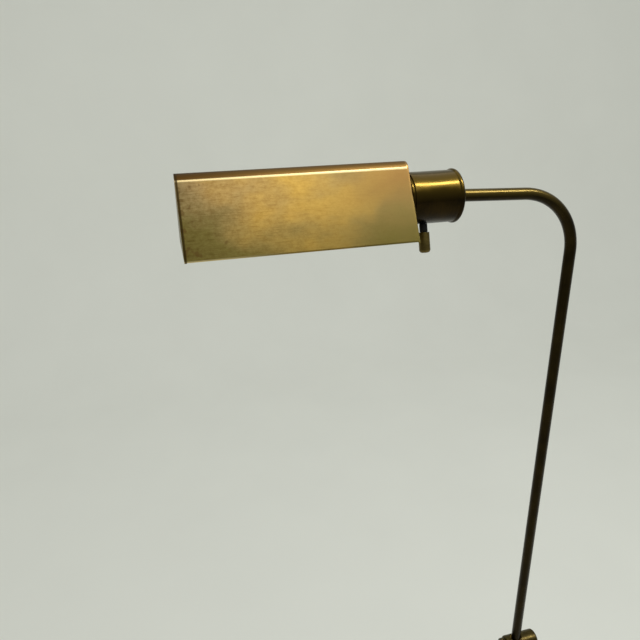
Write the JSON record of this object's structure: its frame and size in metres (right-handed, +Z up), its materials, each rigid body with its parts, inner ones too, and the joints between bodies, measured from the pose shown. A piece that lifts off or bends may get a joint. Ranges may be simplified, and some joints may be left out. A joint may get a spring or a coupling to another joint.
{
  "type": "pharmacy floor lamp",
  "caption": "Brass reading floor lamp: a tent-shaped metal shade on a bent rod that slides and swivels in a barrel clamp beside a fixed stem on a round weighted base.",
  "frame": {"origin": "middle of the base's underside, below the stem's axis", "axes": "+Z up along the stem, the arm and shade point towards -X"},
  "size_m": [0.5543, 0.24, 1.2577],
  "materials": {
    "shade_brass": "aged, lacquer worn",
    "cup_brass": "dark patina",
    "tube_brass": "dark patina",
    "turned_brass": "aged",
    "base_brass": "aged",
    "bush_brass": "plain",
    "steel": "zinc plated",
    "cast_iron": "as cast",
    "felt": "felt",
    "fibre": "vulcanised fibre",
    "black_plastic": "phenolic",
    "porcelain": "glazed",
    "bulb_glass": "frosted",
    "bulb_metal": "bright"
  },
  "bodies": {
    "stand": {"base_cover": "base_brass", "base_weight": "cast_iron", "base_pad": "felt", "tie_stud": "steel", "tie_washer": "steel", "tie_nut": "steel", "stem_flange": "turned_brass", "stem_tube": "tube_brass", "stem_plug": "steel", "clamp_barrel": "turned_brass", "stem_set_screw": "steel"},
    "clamp_pad": {"clamp_pad": "bush_brass"},
    "clamp_knob": {"clamp_knob": "turned_brass", "clamp_screw": "steel"},
    "rod_bush": {"rod_bush": "bush_brass"},
    "rod": {"bent_rod": "tube_brass", "rod_ferrule": "tube_brass", "lead_bush": "black_plastic", "inner_lead": "black_plastic", "swivel_spigot": "tube_brass", "swivel_nut": "bush_brass", "friction_washer": "fibre", "thrust_washer": "steel"},
    "head": {"socket_cup": "cup_brass", "cup_neck": "cup_brass", "shade_shell": "shade_brass", "shade_end_outer": "shade_brass", "shade_end_inner": "shade_brass", "neck_screws": "steel", "socket_strap": "steel", "strap_rivets": "cup_brass", "socket_body": "porcelain", "socket_shell": "bush_brass", "socket_contact": "bush_brass", "bulb_cap": "bulb_metal", "bulb_tip": "bulb_metal", "bulb_glass": "bulb_glass", "switch_body": "black_plastic"},
    "switch": {"switch_shaft": "black_plastic", "switch_knob": "turned_brass"}
  },
  "joints": [
    {"name": "rod_turn", "type": "hinge", "parent": "stand", "child": "rod_bush", "pos_m": [-0.016, 0, 0.55], "axis": [0, 0, 1], "range_deg": [-170, 170]},
    {"name": "rod_slide", "type": "slide", "parent": "rod_bush", "child": "rod", "axis": [0, 0, 1], "range_m": [-0.39, 0.08]},
    {"name": "head_roll", "type": "hinge", "parent": "rod", "child": "head", "pos_m": [-0.16327, 0, 1.22117], "axis": [1, 0, 0], "range_deg": [-135, 135]},
    {"name": "switch_turn", "type": "hinge", "parent": "head", "child": "switch", "pos_m": [-0.19787, -0.01035, 1.18253], "axis": [0, -0.2588, -0.9659], "continuous": true},
    {"name": "pad_slide", "type": "slide", "parent": "stand", "child": "clamp_pad", "axis": [-1, 0, 0], "range_m": [0, 0.0008]},
    {"name": "clamp_turn", "type": "hinge", "parent": "clamp_pad", "child": "clamp_knob", "pos_m": [-0.0316, 0, 0.55], "axis": [-1, 0, 0], "range_deg": [0, 360]}
  ],
  "couplings": [
    {"joint": "clamp_turn", "follows": "pad_slide", "rad_per_m": 7854}
  ]
}
